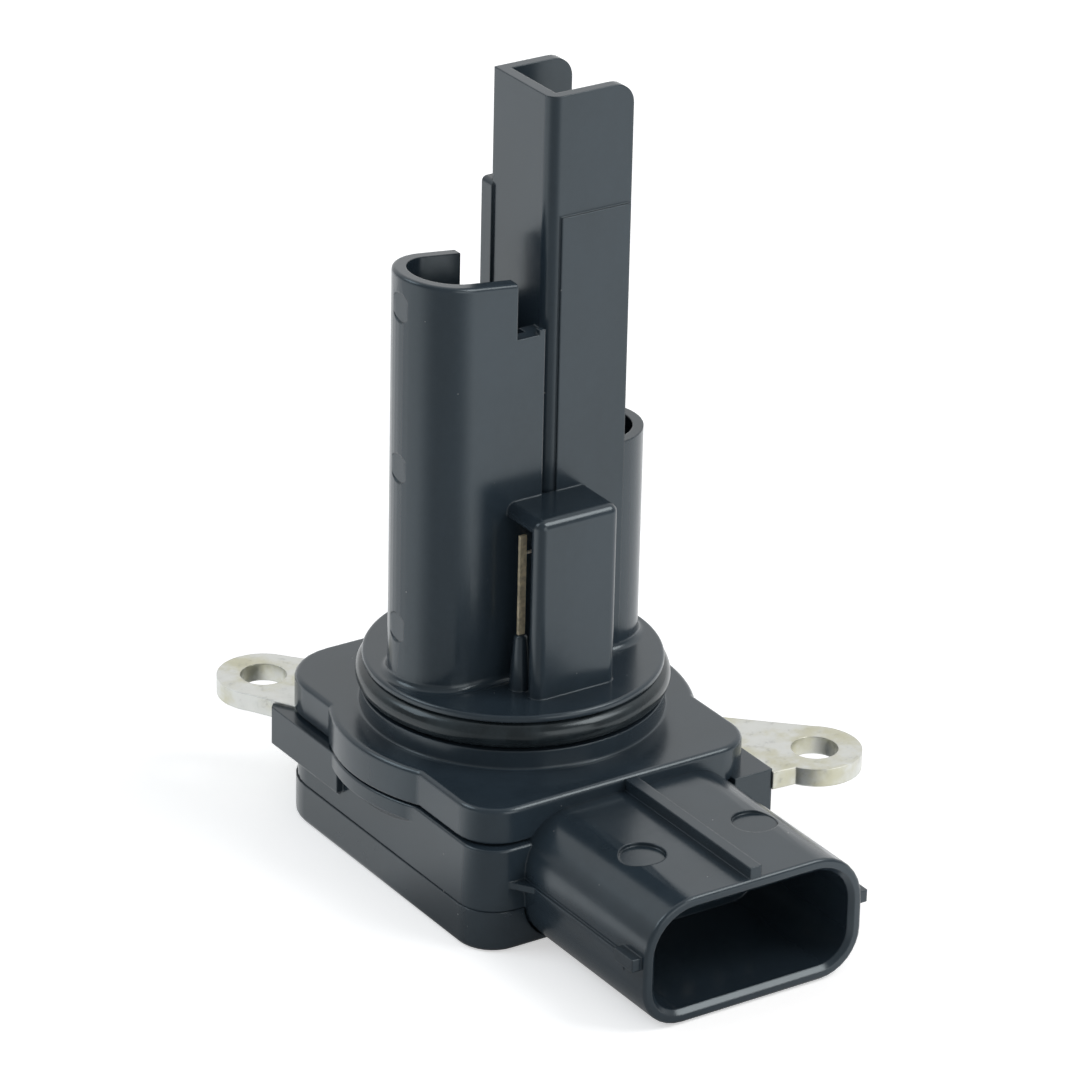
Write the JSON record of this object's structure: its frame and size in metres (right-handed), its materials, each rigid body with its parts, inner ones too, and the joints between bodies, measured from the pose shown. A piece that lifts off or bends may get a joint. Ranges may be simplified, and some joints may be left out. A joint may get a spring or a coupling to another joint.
{
  "type": "mass airflow sensor",
  "caption": "Plug-in mass airflow sensor: channelled probe on a round sealed neck, flanged electronics case, metal ears with screw holes, and an open connector socket.",
  "frame": {"origin": "on the axis of the round neck, at the level of the flange's top face", "axes": "+Z along the neck's axis towards the probe's tip, -Y towards the connector's mouth, -X towards the closed measuring duct"},
  "size_m": [0.0445, 0.0643, 0.0742],
  "materials": {
    "probe_plastic": "satin, dark blue-grey glass-filled plastic",
    "case_plastic": "satin, dark blue-grey glass-filled plastic",
    "cover_plastic": "satin, dark glass-filled plastic",
    "plated_steel": "pale zinc plating with a faint yellow tint",
    "seal_rubber": "smooth, slightly glossy",
    "adhesive": "soft black silicone",
    "resin": "black potting resin",
    "board": "green solder resist",
    "chip_plastic": "moulded black",
    "chip_ceramic": "fired body",
    "glazed_element": "glazed",
    "plated_pin": "tinned",
    "lead_metal": "golden, lightly dulled",
    "terminal_metal": "tinned copper alloy"
  },
  "bodies": {
    "root": {"back_cover": "cover_plastic", "capacitor_1": "chip_ceramic", "capacitor_2": "chip_ceramic", "chip_resistors": "chip_ceramic", "circuit_board": "board", "connector_case": "case_plastic", "connector_terminal_1": "terminal_metal", "connector_terminal_2": "terminal_metal", "connector_terminal_3": "terminal_metal", "connector_terminal_4": "terminal_metal", "connector_terminal_5": "terminal_metal", "cover_adhesive": "adhesive", "heater_element": "glazed_element", "heater_pin_1": "plated_pin", "heater_pin_2": "plated_pin", "main_housing": "probe_plastic", "mounting_plate": "plated_steel", "o_ring": "seal_rubber", "pin_resin": "resin", "power_transistor": "chip_plastic", "reference_element": "glazed_element", "reference_pin_1": "plated_pin", "reference_pin_2": "plated_pin", "signal_chip": "chip_plastic", "thermistor_bead": "glazed_element", "thermistor_lead_1": "lead_metal", "thermistor_lead_2": "lead_metal"}
  },
  "joints": []
}
